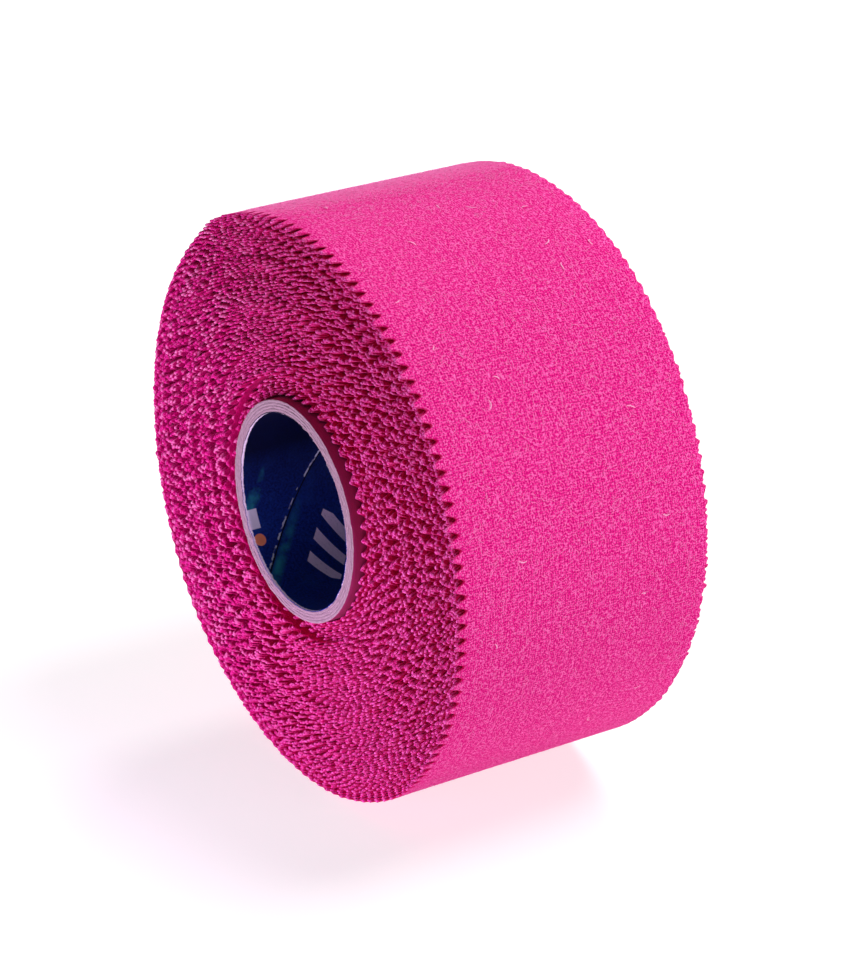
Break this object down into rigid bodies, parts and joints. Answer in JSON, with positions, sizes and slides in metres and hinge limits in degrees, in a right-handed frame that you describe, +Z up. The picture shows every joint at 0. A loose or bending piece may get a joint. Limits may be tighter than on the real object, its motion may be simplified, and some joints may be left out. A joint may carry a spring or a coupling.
{
  "type": "grip tape roll",
  "caption": "Cylindrical roll of pink woven cotton grip tape with saw-toothed edges, wound on a lined paperboard core, with a free end that peels up.",
  "frame": {"origin": "centre of the core's bore, halfway along it; the roll stands on its rim below it", "axes": "+Y along the axis of the roll, away from the face seen in the picture; +Z up; +X completes the right-handed frame"},
  "size_m": [0.0791, 0.0396, 0.079],
  "materials": {
    "liner_paper": "printed satin paper",
    "board": "cut paperboard",
    "cotton": "plain-woven cotton",
    "adhesive": "matt tacky film"
  },
  "bodies": {
    "roll": {"core_liner": "liner_paper", "core_board_1": "board", "core_board_2": "board", "core_board_3": "board", "core_board_4": "board", "tape_backing": "cotton", "tape_adhesive": "adhesive"},
    "free_end": {"end_backing": "cotton", "end_adhesive": "adhesive"}
  },
  "joints": [
    {"name": "end_peel", "type": "hinge", "parent": "roll", "child": "free_end", "pos_m": [-0.03912, 0, 0.0069], "axis": [0, 1, 0], "range_deg": [0, 90]}
  ]
}
